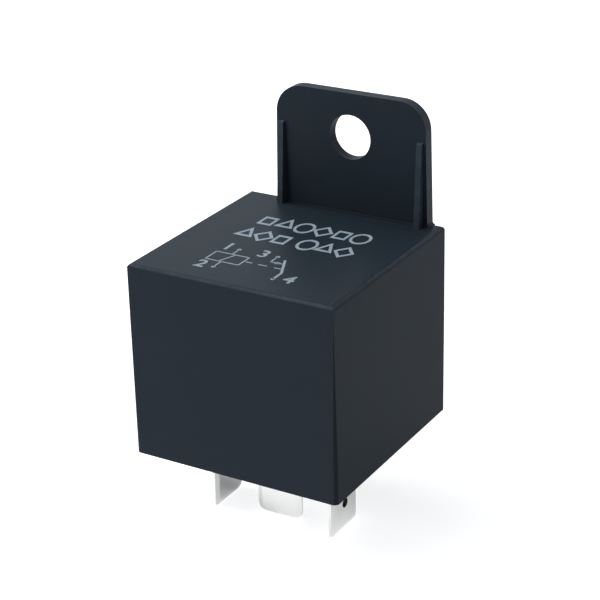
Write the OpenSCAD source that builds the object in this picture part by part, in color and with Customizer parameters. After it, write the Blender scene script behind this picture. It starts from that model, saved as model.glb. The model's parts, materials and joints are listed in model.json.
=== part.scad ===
// Plug-in automotive relay with four blades, one normally closed contact and a
// mounting bracket moulded on its cover.
// The origin is on the plane of the blade tips, under the middle of the square
// footprint. +Z rises to the bracket, +Y is the bracket's side, +X is to the
// right for someone who faces the cover with the bracket behind it.
// Inside the modules, heights are counted from the cover's open rim.

/* [Cover] */
// Width of the cover at its rim
cover_w = 28.2; // [27.8:0.1:30]
// Depth of the cover at its rim
cover_d = 28.2; // [28:0.1:30]
// Height of the cover from its rim to its top face
cover_h = 25; // [24.6:0.1:28]
// Wall of the cover
wall = 1.3; // [0.9:0.1:1.5]
// Lean of each side wall, from the rim to the top
draft = 0.2; // [0.1:0.05:0.3]
// Radius of the upright edges
edge_r = 0.7; // [0.4:0.1:1.2]
// Radius of the edges round the top face
top_r = 0.6; // [0.3:0.1:0.8]
// Width of the ribs inside the cover that stop the base
stop_w = 1.2; // [0.8:0.1:2]
// Depth of the ribs inside the cover
stop_d = 0.6; // [0.4:0.1:0.8]

/* [Bracket] */
// Height of the bracket's top above the cover's rim
bracket_top = 40.5; // [38:0.1:46]
// Width of the bracket at its foot
tab_w = 21.3; // [16:0.1:22]
// Lean of each side of the bracket, from foot to top
tab_lean = 0.35; // [0.05:0.05:0.4]
// Thickness of the bracket
tab_t = 1.5; // [1.2:0.1:2]
// Offset of the bracket to the right of the middle
tab_x = 1.6; // [0:0.1:1.8]
// Radius of the bracket's two top corners
tab_corner_r = 3.6; // [1:0.1:5]
// Diameter of the fixing hole
hole_d = 5.7; // [4.2:0.1:6.5]
// Distance from the bracket's top down to the middle of the hole
hole_drop = 5.6; // [5:0.1:7]
// Width of the two wedge ribs on the bracket's front
rib_w = 0.75; // [0.5:0.05:1.2]
// Margin between a rib and the bracket's side
rib_margin = 0.27; // [0.2:0.01:1]
// Distance from the bracket's top down to the blunt start of a rib
rib_drop = 5; // [4:0.1:8]
// Depth of a rib at its blunt start
rib_start = 0.4; // [0.2:0.05:0.6]
// Depth of a rib at the bracket's foot
rib_foot = 1.1; // [0.7:0.1:2]
// Radius of the fillets where the bracket meets the top face
foot_r = 0.3; // [0.2:0.1:1]

/* [Blades] */
// Width of a blade
blade_w = 6.3; // [4.8:0.1:6.6]
// Thickness of a blade and of its inner strip
blade_t = 0.8; // [0.6:0.05:0.9]
// Length of the blades below the cover's rim
blade_len = 10.3; // [9:0.1:13]
// Radius of a blade's two tip corners
blade_corner_r = 1.3; // [0.6:0.1:2]
// Radius of the front tip corner of each coil blade
coil_corner_r = 0.4; // [0.3:0.1:2]
// Width of the coined bevel along a blade's edges
coin_w = 0.7; // [0.3:0.05:0.8]
// Thickness that the coined bevel leaves at a blade's edge
coin_edge = 0.34; // [0.2:0.02:0.5]
// Diameter of the latch hole in a blade
latch_d = 1.2; // [1:0.1:1.8]
// Height of the latch hole above the blade's tip
latch_up = 3.6; // [3:0.1:4.5]
// Distance of each coil blade from the middle, along X
coil_blade_x = 8.4; // [8.2:0.05:8.8]
// Place of the coil blades along Y
coil_blade_y = -2.8; // [-3.2:0.1:-2.2]
// Place of the closed contact's blade along Y
contact_blade_y = -3.6; // [-4:0.1:-3.4]
// Place of the common blade along Y
common_blade_y = 6; // [5.6:0.1:6.4]

/* [Base] */
// Depth of the base's underside inside the rim
base_sunk = 0.6; // [0.4:0.1:0.9]
// Thickness of the base
base_t = 3; // [2.9:0.1:3.3]
// Gap between the base and the cover's wall, on each side
base_gap = 0.1; // [0.05:0.01:0.15]
// Width of the step round the underside that the resin fills
resin_w = 1.2; // [0.8:0.1:1.5]
// Depth of that step, and of the wells round the blades
resin_h = 0.9; // [0.6:0.1:1]
// How far the resin's surface lies below the base's underside
resin_sunk = 0.2; // [0.1:0.05:0.3]
// Margin of a resin well round its blade
well_margin = 0.8; // [0.5:0.1:0.9]
// Gap between a terminal and its slot in the base
slot_gap = 0.04; // [0.02:0.01:0.08]

/* [Magnet] */
// Place of the coil's axis along Y
core_y = 0.9; // [0.7:0.1:1.1]
// Thickness of the yoke's sheet
yoke_t = 1.6; // [1.2:0.1:1.8]
// Width of the yoke
yoke_w = 13; // [12:0.1:13.4]
// Diameter of the core
core_d = 6.4; // [5:0.1:6.6]
// Diameter of the pole head on the core
pole_d = 9.6; // [8:0.1:11]
// Thickness of the pole head
pole_t = 1.35; // [1:0.05:1.6]
// Wall of the bobbin's tube
tube_t = 0.7; // [0.5:0.05:0.9]
// Diameter of the bobbin's flanges
flange_d = 14.6; // [14:0.1:14.8]
// Thickness of the bobbin's flanges
flange_t = 1; // [0.7:0.1:1.2]
// Outer diameter of the winding
winding_d = 13.2; // [11:0.1:13.4]
// Diameter of one drawn turn of the winding
turn_d = 0.46; // [0.4:0.02:0.6]
// Thickness of the tape round the winding
tape_t = 0.12; // [0.06:0.02:0.2]
// Width of the tape
tape_w = 6.4; // [4:0.1:7]
// Diameter of the coil's lead wires
lead_d = 0.3; // [0.2:0.02:0.34]

/* [Armature and contacts] */
// Thickness of the armature
armature_t = 1.5; // [1.2:0.1:1.7]
// Angle that the armature stands open at rest
lift = 3.2; // [2.6:0.1:3.6]
// Thickness of the contact spring
spring_t = 0.3; // [0.2:0.02:0.36]
// Width of the contact spring at the armature
spring_w = 8; // [7.4:0.1:8.6]
// Inner radius of the spring's bend over the yoke
spring_bend = 0.6; // [0.4:0.05:0.9]
// Diameter of the two silver contacts
contact_d = 3.2; // [2.8:0.1:3.6]
// Height of a silver contact
contact_h = 0.7; // [0.5:0.05:0.9]
// Diameter of the shanks of the small rivets
rivet_d = 1.5; // [1.2:0.1:1.8]
// Height of a rivet's head
rivet_h = 0.5; // [0.3:0.05:0.6]
// Free space between the fixed contact's tail and the cover's ceiling
headroom = 0.4; // [0.3:0.05:0.7]
// Free space between the contact terminal's strip and the cover's front wall
strip_gap = 0.6; // [0.4:0.05:0.8]
// Width of the contact terminal's strip
strip_w = 5.5; // [4.8:0.1:6]
// Diameter of the copper braid
braid_d = 1.5; // [1.2:0.1:1.7]

/* [Hidden] */

$fn = 64;
// Overlap that keeps a cut or a joined body free of coincident faces
bite = 0.2;
// Gap between two pieces that are assembled to touch
seat_gap = 0.02;
// Gap between pieces that move on each other
run_gap = 0.05;

// Cover and base
ceiling_z = cover_h - wall;
inner_half_w = cover_w / 2 - wall - draft;
inner_half_d = cover_d / 2 - wall - draft;
base_w = cover_w - 2 * (wall + base_gap);
base_d = cover_d - 2 * (wall + base_gap);
base_top = base_sunk + base_t;
// Place of each stop rib, as a share of the way from the middle to the corner
stop_at = 0.6;
fence_t = 0.8;
fence_d = 9;
fence_h = 1.2;
fence_gap = 0.15;
tower_margin = 0.8;
tower_t = 1.1;
tower_h = 8.6;
gusset_d = 2;
// Hollows in the underside: width, depth and length of each kind, and their margins
hollow_w = 4.4;
hollow_h = 1.2;
hollow_front = 2.6;
hollow_back = 5.4;
hollow_margin = 2.4;
hollow_r = 0.5;
// How far a side wall has leaned in at the height z
function side_lean_at(z) = draft * z / ceiling_z;

// Bracket
tab_back = cover_d / 2 - draft;
tab_front = tab_back - tab_t;
tab_h = bracket_top - cover_h;
hole_z = bracket_top - hole_drop;

// Terminals
blade_h = blade_len + base_sunk + resin_h;
bend_r = 0.5;
strip_up = 0.4;
strip_z = base_sunk + resin_h + strip_up;
strip_top = strip_z + blade_t;
tail_margin = 1.9;
tail_x = inner_half_w - tail_margin;
tail_w = 4.4;
tail_shift = 0.6;
tail_y = common_blade_y + tail_shift;
tail_h = 8.4;
tail_top = base_top + tail_h;
shoulder_h = 0.9;
shoulder_top = base_top + shoulder_h;
post_w = 1.4;
post_shift = 1.8;
post_y = coil_blade_y - post_shift;
post_h = 4.7;
post_top = base_top + post_h;

// Magnet
foot_top = base_top + yoke_t;
flange_r = flange_d / 2;
yoke_gap = 0.4;
yoke_in = core_y + flange_r + yoke_gap;
yoke_out = yoke_in + yoke_t;
foot_front = core_y - flange_r + 0.2;
tube_r = core_d / 2 + run_gap + tube_t;
tenon_step = 1;
tenon_r = core_d / 2 - tenon_step;
stake_rim = 0.6;
stake_r = tenon_r + stake_rim;
stake_h = 0.5;
stake_gap = 0.1;
pole_edge = 0.2;
lug_w = 1.5;
lug_h = armature_t + 0.1;
peg_r = 0.75;
peg_margin = 1.15;
peg_x = yoke_w / 2 - peg_margin - peg_r;
peg_y = foot_front + 0.65 + peg_r;
notch_d = 0.9;
notch_w = 1;

// Hinge: the armature's lower back edge rocks on the yoke's top face
hinge_y = yoke_out - spring_bend;
arm_z = ceiling_z - headroom - rivet_h / 2 - blade_t;
strip_out = -(inner_half_d - strip_gap);
strip_in = strip_out + blade_t;
spring_tip_gap = 0.45;
nose_margin = 0.35;
contact_back = contact_d / 2 + nose_margin;
contact_reach = hinge_y - strip_in - spring_tip_gap - contact_back;
stack_h = run_gap + armature_t + spring_t + contact_h;
fixed_face_z = arm_z - contact_h;
yoke_top = fixed_face_z - run_gap - contact_reach * sin(lift) - stack_h * cos(lift);
fixed_y = hinge_y - contact_reach * cos(lift) + stack_h * sin(lift);
pole_z = yoke_top - run_gap;
coil_low = foot_top + flange_t;
coil_high = pole_z - pole_t - flange_t;
front_gap = 1.6;
armature_reach = contact_reach - contact_d / 2 - front_gap;
armature_step = 1.3;
armature_w = yoke_w - 2 * armature_step;
armature_r = 1.2;
lug_gap = 0.25;
notch_y = hinge_y - yoke_in + lug_gap + 0.1;
tongue_reach = 6.4;
shoulder_reach = 8;
shoulder_r = 0.8;
rivet_y = 4.6;
rivet_margin = 1.5;
rivet_x = spring_w / 2 - rivet_margin;
rivet_head_r = rivet_d * 0.9;
rivet_tail_d = rivet_d * 1.5;
neck_step = 0.8;
neck_w = spring_w - 2 * neck_step;
neck_y = 6;
nose_r = 1.4;
window_margin = 2.3;
window_w = spring_w - 2 * window_margin;
window_h = 5;
spring_tip = contact_reach + contact_back;
rivet_drop = 6.2;
yoke_rivet_z = yoke_top - rivet_drop;
spring_low = yoke_rivet_z - 2;
// Underside of the heads on the spring, over the armature's underside, and a
// height that clears the whole stack
head_z = armature_t + 2 * seat_gap + spring_t;
stack_clear = 2 * head_z;

// Middle of the spring's bend. Its inner arc touches the planes just off the
// armature's top face and the yoke's back face.
bend_up = run_gap + armature_t + seat_gap - spring_bend;
bend_y = yoke_out + seat_gap - spring_bend;
bend_z = yoke_top + (bend_up - (bend_y - hinge_y) * sin(lift)) / cos(lift);
// Where the bend begins, along the tilted armature
bend_start = (bend_y - hinge_y) * cos(lift) - (bend_z - yoke_top) * sin(lift);

// Wires
post_r = norm([post_w / 2, blade_t / 2]);
wrap_r = post_r + lead_d / 2 + seat_gap;
wrap_up = 0.2;
wrap_z = foot_top + flange_t + wrap_up;
wrap_turns = 3;
wrap_pitch = lead_d * 1.15;
solder_t = 0.25;
solder_top_t = 0.35;
braid_r = braid_d / 2;
// Points of the braid's route: its start beside the moving contact, two points
// counted from there, its turn in front of the coil, and four points counted from
// the top of the common terminal
braid_start = [2.3, 2.2];
braid_rise = [[1.7, -0.3, -0.5], [4.5, 0.4, -2]];
braid_turn = [-0.3, -4, 4];
braid_fall = [[0, -3.6, 2.4], [0, -0.8, 1], [0, 0, -1.2], [0, 0, -3.2]];
braid_aside = 0.4;

module from_rim() { translate([0, 0, blade_len]) children(); }

// Flat outlines

module round_rect(w, d, r) {
    square([w, d - 2 * r], center = true);
    square([w - 2 * r, d], center = true);
    for (x = [-1, 1], y = [-1, 1])
        translate([x * (w / 2 - r), y * (d / 2 - r)]) circle(r);
}

// Upright outline whose two sides lean in and whose two top corners are round
module leaning_outline(w, h, lean, r) {
    a = atan(lean / h);
    cx = w / 2 - (r + (h - r) * sin(a)) / cos(a);
    tangent = [cx + r * cos(a), h - r + r * sin(a)];
    polygon([[-w / 2, 0], [w / 2, 0], tangent, [cx, h], [-cx, h], [-tangent[0], tangent[1]]]);
    for (x = [-cx, cx]) translate([x, h - r]) circle(r);
}

// Quarter of a ring, in the quadrant that the two signs give
module quarter_ring(r_in, t, sx, sy) {
    size = r_in + t + bite;
    intersection() {
        difference() {
            circle(r_in + t);
            circle(r_in);
        }
        translate([sx < 0 ? -size : 0, sy < 0 ? -size : 0]) square(size);
    }
}

// Concave corner of radius r, filling the corner at the origin towards sx, sy
module corner_fillet(r, sx, sy) {
    difference() {
        translate([sx < 0 ? -r : -bite, sy < 0 ? -r : -bite]) square(r + bite);
        translate([sx * r, sy * r]) circle(r);
    }
}

// Extrusions of an outline along Y, whose x and y become X and Z, and along X,
// whose x and y become Y and Z
module along_y(t) { rotate([90, 0, 0]) linear_extrude(t, center = true) children(); }
module along_x(t) { rotate([90, 0, 90]) linear_extrude(t, center = true) children(); }

// Tubes that follow a list of points

function unit(v) = v / norm(v);
function spline(a, b, c, d, t) =
    0.5 * (2 * b + (c - a) * t + (2 * a - 5 * b + 4 * c - d) * t * t + (3 * b - a - 3 * c + d) * t * t * t);
function smooth_route(p, steps) = [
    for (i = [0 : len(p) - 2], k = [0 : steps - 1])
        spline(p[max(i - 1, 0)], p[i], p[i + 1], p[min(i + 2, len(p) - 1)], k / steps),
    p[len(p) - 1]
];
function heading(q, i) = unit(q[min(i + 1, len(q) - 1)] - q[max(i - 1, 0)]);

module tube_along(q, r, sides, up) {
    n = len(q);
    points = [
        for (i = [0 : n - 1])
            let (t = heading(q, i), u = unit(cross(up, t)), v = cross(t, u))
                for (k = [0 : sides - 1])
                    q[i] + r * (cos(360 * k / sides) * u + sin(360 * k / sides) * v)
    ];
    walls = [
        for (i = [0 : n - 2], k = [0 : sides - 1])
            let (k2 = (k + 1) % sides)
                [i * sides + k, (i + 1) * sides + k, (i + 1) * sides + k2, i * sides + k2]
    ];
    start = [for (k = [0 : sides - 1]) k];
    end = [for (k = [0 : sides - 1]) n * sides - 1 - k];
    polyhedron(points = points, faces = concat([start], walls, [end]));
}

// Cover and bracket

module moulded_block(w, d, h, lean, upright_r, r) {
    intersection() {
        along_y(d + 2) leaning_outline(w, h, lean, r);
        along_x(w + 2) leaning_outline(d, h, lean, r);
        linear_extrude(h + 1) round_rect(w, d, upright_r);
    }
}

// Upright ribs on the inside of the walls. The base stops against their lower ends.
module base_stops() {
    h = cover_h - wall / 2 - base_top;
    reach = stop_d + draft + bite;
    for (s = [-1, 1], x = [-1, 1]) {
        translate([x * stop_at * inner_half_w, s * (inner_half_d - stop_d + reach / 2), base_top + h / 2])
            cube([stop_w, reach, h], center = true);
        translate([s * (inner_half_w - stop_d + reach / 2), x * stop_at * inner_half_d, base_top + h / 2])
            cube([reach, stop_w, h], center = true);
    }
}

module bracket_outline() {
    leaning_outline(tab_w, tab_h, tab_lean, tab_corner_r);
    translate([-tab_w / 2, -wall]) square([tab_w, wall + bite]);
    for (s = [-1, 1]) translate([s * tab_w / 2, 0]) corner_fillet(foot_r, s, 1);
}

module bracket_rib() {
    start = tab_h - rib_drop;
    root = tab_front + bite;
    along_x(rib_w)
        polygon([[root, -wall / 2], [tab_front - rib_foot, -wall / 2], [tab_front - rib_foot, 0],
                 [tab_front - rib_start, start], [tab_front, start + rib_start / 2], [root, start]]);
}

module cover() {
    rib_x = tab_w / 2 - tab_lean - rib_margin - rib_w / 2;
    color("#2b3138") from_rim() difference() {
        union() {
            moulded_block(cover_w, cover_d, cover_h, draft, edge_r, top_r);
            translate([tab_x, 0, cover_h]) {
                translate([0, tab_back - tab_t / 2, 0]) along_y(tab_t) bracket_outline();
                for (s = [-1, 1]) translate([s * rib_x, 0, 0]) bracket_rib();
                along_x(tab_w) translate([tab_front, 0]) corner_fillet(foot_r, -1, 1);
            }
        }
        difference() {
            translate([0, 0, -bite])
                moulded_block(cover_w - 2 * wall, cover_d - 2 * wall, ceiling_z + bite, draft,
                              edge_r / 2, top_r / 2);
            base_stops();
        }
        translate([tab_x, tab_back + bite, hole_z]) rotate([90, 0, 0])
            cylinder(d = hole_d, h = tab_t + 2 * bite);
    }
}

// Terminals

// A blade in the plane of X and Z, from its tip at z = 0 up to the height top,
// with the radius of its tip corner at -X and with or without a latch hole
module blade(top, left_r, latched) {
    corners = [[-1, left_r], [1, blade_corner_r]];
    flat = [left_r - blade_w / 2, blade_w / 2 - blade_corner_r];
    side = [[coin_edge / 2, 0], [blade_t / 2, coin_w], [blade_t / 2, top]];
    section = [[blade_w / 2 - coin_w, blade_t / 2], [blade_w / 2, coin_edge / 2]];
    difference() {
        intersection() {
            along_y(blade_t) {
                translate([-blade_w / 2, blade_corner_r]) square([blade_w, top - blade_corner_r]);
                translate([-blade_w / 2, left_r]) square([blade_w / 2, top - left_r]);
                translate([flat[0], 0]) square([flat[1] - flat[0], top]);
                for (c = corners) translate([c[0] * (blade_w / 2 - c[1]), c[1]]) circle(c[1]);
            }
            linear_extrude(top) polygon(concat(section, turned_back(section, 1, -1),
                                               turned_over(section), turned_back(section, -1, 1)));
            along_x(blade_w) polygon(concat(side, turned_back(side, -1, 1)));
        }
        if (latched) translate([0, 0, latch_up]) rotate([90, 0, 0])
            cylinder(d = latch_d, h = blade_t + 2 * bite, center = true);
    }
}

// Points of an outline in reverse, mirrored by the two signs, and turned half round
function turned_back(p, sx, sy) = [for (i = [len(p) - 1 : -1 : 0]) [sx * p[i][0], sy * p[i][1]]];
function turned_over(p) = [for (q = p) -q];

// Part of a coil terminal above the resin: shoulder and solder post
module coil_tail(gap, top) {
    low = base_sunk + resin_h - bite;
    translate([-blade_t / 2 - gap, coil_blade_y - blade_w / 2 - gap, low])
        cube([blade_t + 2 * gap, blade_w + 2 * gap, min(top, shoulder_top) - low]);
    translate([-blade_t / 2 - gap, post_y - post_w / 2 - gap, low])
        cube([blade_t + 2 * gap, post_w + 2 * gap, top - low]);
}

module coil_terminal(side) {
    color("silver") {
        translate([side * coil_blade_x, coil_blade_y, 0]) rotate([0, 0, 90])
            blade(blade_h, coil_corner_r, true);
        from_rim() translate([side * coil_blade_x, 0, 0]) coil_tail(0, post_top);
    }
}

// Strip of the contact terminal, from its blade's top under the coil to the
// front wall and up; the same outline with a gap cuts its slot in the base
module contact_strip(gap) {
    t = blade_t + 2 * gap;
    r = bend_r - gap;
    low = base_sunk + resin_h - bite;
    blade_out = contact_blade_y - blade_t / 2;
    first = [blade_out - bend_r, strip_z - bend_r];
    second = [strip_in + bend_r, strip_top + bend_r];
    third = [second[0], arm_z - bend_r];
    along_x(blade_w + 2 * gap) {
        translate(first) quarter_ring(r, t, 1, 1);
        translate([blade_out - gap, low]) square([t, first[1] - low]);
    }
    along_x(strip_w + 2 * gap) {
        translate([second[0], strip_z - gap]) square([first[0] - second[0], t]);
        translate(second) quarter_ring(r, t, -1, -1);
        translate([strip_out - gap, second[1]]) square([t, third[1] - second[1]]);
        translate(third) quarter_ring(r, t, -1, 1);
    }
}

module contact_arm() {
    end_r = contact_d / 2 + 0.2;
    start = strip_in + bend_r;
    translate([0, 0, arm_z]) linear_extrude(blade_t) difference() {
        union() {
            polygon([[-strip_w / 2, start], [strip_w / 2, start], [end_r, fixed_y], [-end_r, fixed_y]]);
            translate([0, fixed_y]) circle(end_r);
        }
        translate([0, fixed_y]) circle(rivet_d / 2 + seat_gap);
    }
}

module contact_terminal() {
    color("silver") {
        translate([0, contact_blade_y, 0]) blade(blade_h, blade_corner_r, false);
        from_rim() {
            contact_strip(0);
            contact_arm();
        }
    }
}

// Strip of the common terminal, from its blade to the right and up to the braid
module common_strip(gap, top) {
    t = blade_t + 2 * gap;
    r = bend_r - gap;
    low = base_sunk + resin_h - bite;
    first = [blade_t / 2 + bend_r, strip_z - bend_r];
    second = [tail_x - bend_r, strip_top + bend_r];
    translate([0, common_blade_y, 0]) along_y(blade_w + 2 * gap) {
        translate(first) quarter_ring(r, t, -1, 1);
        translate([-blade_t / 2 - gap, low]) square([t, first[1] - low]);
    }
    translate([0, tail_y, 0]) along_y(tail_w + 2 * gap) {
        translate([first[0], strip_z - gap]) square([second[0] - first[0], t]);
        translate(second) quarter_ring(r, t, 1, -1);
        translate([tail_x - gap, second[1]]) square([t, top - second[1]]);
    }
}

module common_terminal() {
    color("silver") {
        translate([0, common_blade_y, 0]) rotate([0, 0, 90]) blade(blade_h, blade_corner_r, true);
        from_rim() common_strip(0, tail_top);
    }
}

// Base and resin

// Children are placed at each blade, with the blade's plane along their x
module at_blades() {
    for (s = [-1, 1]) translate([s * coil_blade_x, coil_blade_y, 0]) rotate([0, 0, 90]) children();
    translate([0, contact_blade_y, 0]) children();
    translate([0, common_blade_y, 0]) rotate([0, 0, 90]) children();
}

module well_outline(m) { round_rect(blade_w + 2 * m, blade_t + 2 * m, well_margin / 2); }

// Two low fences and two pegs that place the yoke's foot
module yoke_seat() {
    for (s = [-1, 1]) {
        translate([s * (yoke_w / 2 + fence_gap + fence_t / 2), core_y, base_top + (fence_h - bite) / 2])
            cube([fence_t, fence_d, fence_h + bite], center = true);
        translate([s * peg_x, peg_y, base_top - bite]) cylinder(r = peg_r, h = yoke_t + bite);
    }
}

// Wall behind the contact terminal's strip, held up by two gussets
module strip_tower() {
    w = strip_w + 2 * tower_margin;
    low = base_top - bite;
    back = strip_in + slot_gap + tower_t;
    translate([0, back - tower_t / 2, (low + base_top + tower_h) / 2])
        cube([w, tower_t, tower_h + bite], center = true);
    for (s = [-1, 1])
        translate([s * (w - tower_margin) / 2, back - bite, 0]) along_x(tower_margin)
            polygon([[0, low], [gusset_d, low], [gusset_d, base_top], [0, base_top + tower_h - tower_t]]);
}

// Hollows in the underside where no terminal runs
module core_outs() {
    x = base_w / 2 - hollow_margin - hollow_w / 2;
    front = hollow_margin + hollow_front / 2 - base_d / 2;
    back = base_d / 2 - hollow_margin - hollow_back / 2;
    for (s = [-1, 1]) translate([s * x, front]) round_rect(hollow_w, hollow_front, hollow_r);
    translate([-x, back]) round_rect(hollow_w, hollow_back, hollow_r);
}

module base() {
    color("#23272b") from_rim() difference() {
        union() {
            translate([0, 0, base_sunk]) linear_extrude(base_t) round_rect(base_w, base_d, edge_r / 2);
            yoke_seat();
            strip_tower();
        }
        translate([0, 0, base_sunk - bite]) linear_extrude(resin_h + bite) {
            difference() {
                square([base_w + 2 * bite, base_d + 2 * bite], center = true);
                round_rect(base_w - 2 * resin_w, base_d - 2 * resin_w, edge_r / 2);
            }
            at_blades() well_outline(well_margin);
        }
        translate([0, 0, base_sunk - bite]) linear_extrude(hollow_h + bite) core_outs();
        for (s = [-1, 1]) translate([s * coil_blade_x, 0, 0]) coil_tail(slot_gap, post_top);
        contact_strip(slot_gap);
        common_strip(slot_gap, tail_top);
        translate([0, core_y, base_top - stake_h - stake_gap])
            cylinder(r = stake_r + stake_gap, h = stake_h + stake_gap + bite);
    }
}

module seal_resin() {
    low = base_sunk + resin_sunk;
    top = base_sunk + resin_h - seat_gap;
    outer = 2 * (wall + side_lean_at(top) + seat_gap);
    inner = 2 * (resin_w - seat_gap);
    color("#16181b") from_rim() translate([0, 0, low]) linear_extrude(top - low) {
        difference() {
            round_rect(cover_w - outer, cover_d - outer, edge_r / 2);
            round_rect(base_w - inner, base_d - inner, edge_r / 2);
        }
        at_blades() difference() {
            well_outline(well_margin - seat_gap);
            square([blade_w + 2 * seat_gap, blade_t + 2 * seat_gap], center = true);
        }
    }
}

// Magnet

// Sheet bent into a foot under the coil and a leg behind it, with a lug at each
// side of the armature
module yoke_sheet() {
    foot_low = base_top + seat_gap;
    bend = [yoke_in - bend_r, foot_top + bend_r];
    along_x(yoke_w) {
        translate([foot_front, foot_low]) square([bend[0] - foot_front, foot_top - foot_low]);
        intersection() {
            translate(bend) quarter_ring(bend_r, yoke_t, 1, -1);
            translate([bend[0], foot_low]) square(bend_r + yoke_t);
        }
        translate([yoke_in, bend[1]]) square([yoke_t, yoke_top - bend[1]]);
    }
    for (s = [-1, 1])
        translate([s * (yoke_w - lug_w) / 2, yoke_in + yoke_t / 2, yoke_top + (lug_h - bite) / 2])
            cube([lug_w, yoke_t, lug_h + bite], center = true);
}

module yoke() {
    through = yoke_t + 2 * bite;
    color("#9a9ca0") from_rim() difference() {
        yoke_sheet();
        translate([0, core_y, base_top - bite]) cylinder(r = tenon_r + seat_gap, h = through);
        for (s = [-1, 1]) {
            translate([s * peg_x, peg_y, base_top - bite]) cylinder(r = peg_r + run_gap, h = through);
            translate([s * rivet_x, yoke_in - bite, yoke_rivet_z]) rotate([-90, 0, 0])
                cylinder(r = rivet_d / 2 + seat_gap, h = through);
        }
    }
}

module core() {
    color("#b9bcc0") from_rim() translate([0, core_y, 0]) {
        translate([0, 0, base_top + seat_gap - stake_h]) cylinder(r = stake_r, h = stake_h);
        translate([0, 0, base_top - bite]) cylinder(r = tenon_r, h = yoke_t + 2 * bite);
        translate([0, 0, foot_top + seat_gap]) cylinder(d = core_d, h = pole_z - foot_top - seat_gap - bite);
        rotate_extrude()
            polygon([[0, pole_z - pole_t], [pole_d / 2, pole_z - pole_t], [pole_d / 2, pole_z - pole_edge],
                     [pole_d / 2 - pole_edge, pole_z], [0, pole_z]]);
    }
}

module bobbin() {
    low = foot_top + seat_gap;
    high = pole_z - pole_t - seat_gap;
    notch_a = atan2(post_y - core_y, coil_blade_x);
    color("#e8e2cf") from_rim() translate([0, core_y, 0]) difference() {
        rotate_extrude()
            polygon([[tube_r - tube_t, low], [flange_r, low], [flange_r, coil_low], [tube_r, coil_low],
                     [tube_r, coil_high], [flange_r, coil_high], [flange_r, high], [tube_r - tube_t, high]]);
        for (a = [notch_a, 180 - notch_a]) rotate([0, 0, a])
            translate([flange_r, 0, low + flange_t / 2])
                cube([2 * notch_d, notch_w, flange_t + 2 * bite], center = true);
    }
}

// Winding whose outermost turns show as ridges
module coil_winding() {
    length = coil_high - coil_low - 2 * seat_gap;
    turns = floor(length / turn_d);
    pitch = length / turns;
    crest = winding_d / 2;
    groove = crest - turn_d * 0.3;
    inner = tube_r + seat_gap;
    ridges = [for (i = [0 : turns - 1]) each [[groove, i * pitch], [crest, (i + 0.3) * pitch],
                                              [crest, (i + 0.7) * pitch]]];
    color("#b5652b") from_rim() translate([0, core_y, coil_low + seat_gap])
        rotate_extrude() polygon(concat([[inner, 0]], ridges, [[groove, length], [inner, length]]));
}

module coil_tape() {
    r = winding_d / 2 + seat_gap;
    middle = (coil_low + coil_high) / 2;
    color("#c9a23a") from_rim() translate([0, core_y, middle]) difference() {
        cylinder(r = r + tape_t, h = tape_w, center = true);
        cylinder(r = r, h = tape_w + 2 * bite, center = true);
    }
}

// Lead wire from the winding's lower end, three turns round the solder post
module coil_lead(side) {
    post = [coil_blade_x, post_y];
    from_coil = atan2(post[1] - core_y, post[0]);
    out = [cos(from_coil), sin(from_coil)];
    start_r = winding_d / 2 + lead_d / 2 + seat_gap;
    start = [start_r * out[0], core_y + start_r * out[1], coil_low + lead_d / 2 + seat_gap];
    first_angle = 90;
    meet = [post[0] + wrap_r * cos(first_angle), post[1] + wrap_r * sin(first_angle), wrap_z + lead_d];
    route = smooth_route([start, (start + meet) / 2 + [0, 0.25, 0.3], meet - [0.5, -0.02, 0]], 6);
    sides = 8;
    coil_steps = 14;
    helix = [
        for (i = [0 : wrap_turns * coil_steps])
            let (a = first_angle - 360 * i / coil_steps)
                [post[0] + wrap_r * cos(a), post[1] + wrap_r * sin(a), meet[2] + wrap_pitch * i / coil_steps]
    ];
    color("#b5652b") from_rim() mirror([side < 0 ? 1 : 0, 0, 0])
        tube_along(concat(route, helix), lead_d / 2, sides, [0, 0, 1]);
}

// Drop of solder on the end of each post, above the wire's turns
module solder_caps() {
    low = wrap_z + lead_d + wrap_turns * wrap_pitch + lead_d / 2 + seat_gap;
    socket_h = post_top - low + seat_gap;
    r = post_r + solder_t;
    color("#d5d8dc") from_rim() for (s = [-1, 1]) translate([s * coil_blade_x, post_y, low]) difference() {
        domed_head(r, socket_h + solder_top_t);
        translate([0, 0, (socket_h - bite) / 2])
            cube([blade_t + 2 * seat_gap, post_w + 2 * seat_gap, socket_h + bite], center = true);
    }
}

// Moving assembly, drawn flat on the hinge and tilted open. Its own frame has
// the hinge's axis on x, its front towards -y and the armature's underside at z = 0.

module tilted() {
    from_rim() translate([0, hinge_y, yoke_top]) rotate([-lift, 0, 0]) translate([0, 0, run_gap]) children();
}

// Plate with a tongue between the yoke's lugs, shoulders in front of them and a
// narrower front over the pole
module armature() {
    tongue_w = yoke_w - 2 * (lug_w + lug_gap);
    color("#a4a6aa") tilted() difference() {
        linear_extrude(armature_t) {
            translate([-tongue_w / 2, -tongue_reach]) square([tongue_w, tongue_reach]);
            translate([0, -(notch_y + armature_reach) / 2])
                round_rect(armature_w, armature_reach - notch_y, armature_r);
            translate([0, -(notch_y + shoulder_reach) / 2])
                round_rect(yoke_w, shoulder_reach - notch_y, shoulder_r);
        }
        for (s = [-1, 1]) translate([s * rivet_x, -rivet_y, -bite])
            cylinder(r = rivet_d / 2 + seat_gap, h = armature_t + 2 * bite);
    }
}

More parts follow.
